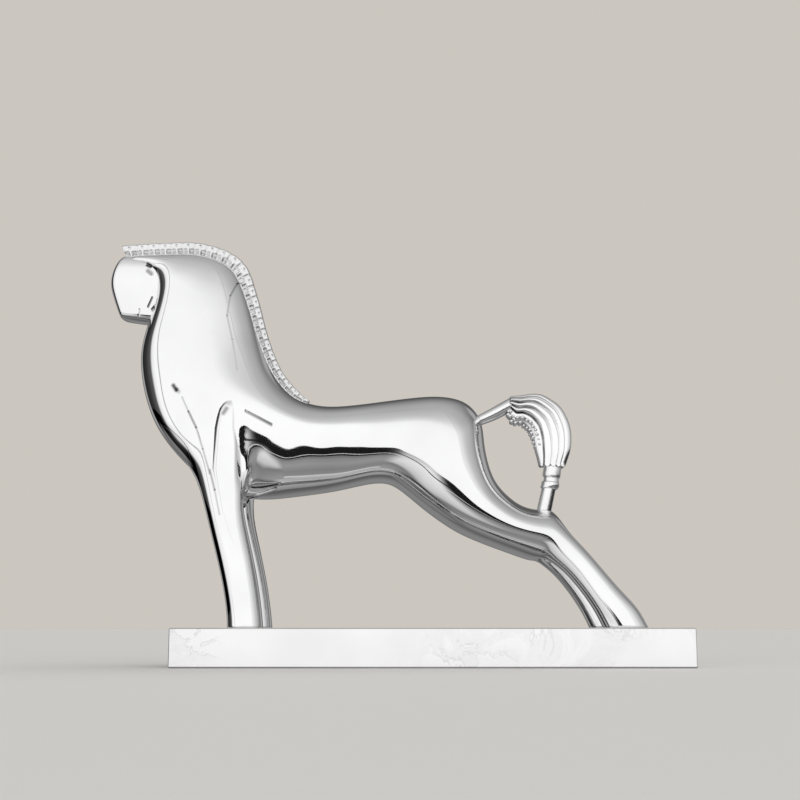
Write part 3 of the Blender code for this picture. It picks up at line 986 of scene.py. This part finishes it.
def makeStudio():
    world = bpy.data.worlds.new("studio")
    bpy.context.scene.world = world
    world.use_nodes = True
    tree = world.node_tree
    tree.nodes.clear()
    direction = Wire(tree, tree.nodes.new("ShaderNodeTexCoord").outputs["Generated"])
    parts = direction.node("ShaderNodeSeparateXYZ", None, {0: direction})
    separate = parts.socket.node
    x, y, z = (Wire(tree, separate.outputs[k]) for k in range(3))
    elevation = direction.maths("ARCSINE", z) * (180.0 / math.pi)
    azimuth = direction.maths("ARCTAN2", x, 0.0 - y) * (180.0 / math.pi)

    def byElevation(stops):
        return direction.node("ShaderNodeValToRGB", {"stops": [
            ((angle + 90.0) / 180.0, (tone(shown),) * 3) for angle, shown in stops]},
            {"Fac": (elevation + 90.0) / 180.0})

    def within(value, low, high, soft):
        return value.step(low - soft, low + soft) * (1.0 - value.step(high - soft, high + soft))

    def banded(light, band):
        low, high, shown = band
        share = within(elevation, low, high, studio["bandSoftness"])
        return light * (1.0 - share) + share * tone(shown)

    front = banded(banded(byElevation(studio["front"]), studio["frontBand"]), studio["frontLine"])
    left = banded(byElevation(studio["left"]), studio["leftBand"])
    aboveHorizon = elevation.step(*studio["horizon"])
    onLeft = within(azimuth, *studio["leftSpan"]) * (1.0 - aboveHorizon)
    ground = front * (1.0 - onLeft) + left * onLeft
    around = direction.node("ShaderNodeValToRGB", {"stops": [
        ((angle + 180.0) / 360.0, (share ** studio["displayPower"],) * 3)
        for angle, share in studio["round"]]}, {"Fac": (azimuth + 180.0) / 360.0})
    shade = around + (1.0 - around) * elevation.step(*studio["overhead"])
    lasting = 1.0 - elevation.step(*studio["seamsEnd"])
    for middle, half, strength in studio["seams"]:
        near = within(azimuth, middle - half, middle + half, half) * aboveHorizon
        shade = shade * (1.0 - near * strength * lasting)
    behind = 1.0 - within(azimuth, *studio["backAzimuth"])
    behind = behind * within(elevation, *studio["backElevation"])
    light = ground * shade * (1.0 - behind) + byElevation(studio["back"]) * behind
    soft = studio["sidesSoftness"]
    for start, end, low, high, shown in studio["sides"]:
        aside = within(abs(azimuth), start, end, soft) * within(elevation, low, high, soft)
        light = light * (1.0 - aside) + aside * tone(shown)
    mirrored = direction.node("ShaderNodeBackground", None,
                              {"Color": light, "Strength": studio["mirrored"]})
    seen = direction.node("ShaderNodeBackground", None,
                          {"Color": (*studio["backdrop"], 1.0), "Strength": 1.0})
    path = tree.nodes.new("ShaderNodeLightPath")
    mix = direction.node("ShaderNodeMixShader", None,
                         {0: Wire(tree, path.outputs["Is Camera Ray"]), 1: mirrored, 2: seen})
    output = tree.nodes.new("ShaderNodeOutputWorld")
    tree.links.new(mix.socket, output.inputs["Surface"])

    bpy.ops.object.select_all(action="DESELECT")
    bpy.ops.mesh.primitive_plane_add(size=studio["floorSize"])
    floor = bpy.context.object
    floor.name = "floor"
    floor.visible_glossy = False
    material, _, shader, _ = newMaterial("pale floor")
    shader.inputs["Base Color"].default_value = (*studio["floor"], 1.0)
    shader.inputs["Roughness"].default_value = studio["floorRoughness"]
    floor.data.materials.append(material)

    lamp = bpy.data.lights.new("floor light", "SUN")
    lamp.energy = studio["sun"]
    lamp.angle = math.radians(studio["sunSize"])
    sun = bpy.data.objects.new("floor light", lamp)
    bpy.context.scene.collection.objects.link(sun)
    sun.rotation_euler = [math.radians(turn) for turn in studio["sunTurn"]]
    sun.visible_glossy = False


def makeCamera():
    data = bpy.data.cameras.new("camera")
    data.lens = studio["lens"]
    camera = bpy.data.objects.new("camera", data)
    bpy.context.scene.collection.objects.link(camera)
    camera.location = (studio["offset"], -studio["distance"], studio["height"])
    camera.rotation_euler = (math.radians(90.0 + studio["pitch"]), 0.0, 0.0)
    bpy.context.scene.camera = camera
    bpy.context.scene.view_settings.view_transform = "Standard"


makeStudio()
makeCamera()
print("studio ready")

horsePlating = plating("horse plating", (0.93, 0.93, 0.935), roughness=0.02, wave=0.00006,
                       strokes=marks)
manePlating = plating("mane plating", (0.97, 0.97, 0.97), roughness=0.36, wave=0.00002,
                      paintedCavityShade=(0.0030, 0.2, 0.8, 0.72))
tailPlating = plating("tail plating", (0.97, 0.97, 0.97), roughness=0.15, wave=0.00002,
                      paintedCavityShade=(0.0020, 0.35, 0.85, 0.32), tarnish="tarnish")
plinthPlating = plating("plinth plating", (0.91, 0.905, 0.91), roughness=0.06, wave=0.00012,
                        paintedReflectionStreaks=0.13)


def settle(piece, material, slot, *nodes):
    # finish of a piece, its place on the model and the plain solid that it stands for
    piece.data.materials.clear()
    piece.data.materials.append(material)
    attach(piece, "root")
    if nodes:
        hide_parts(*nodes)


settle(makeBody(), horsePlating, "horse_plating", "horse")
settle(makeShoulders(), horsePlating, "horse_plating")
settle(makeHead(), horsePlating, "horse_plating")
settle(makeMane(), manePlating, "horse_plating")
print("horse ready")
settle(makeTail(), tailPlating, "tail_plating", "tail")
settle(makePlinth(), plinthPlating, "plinth_plating", "plinth")
print("tail and plinth ready")
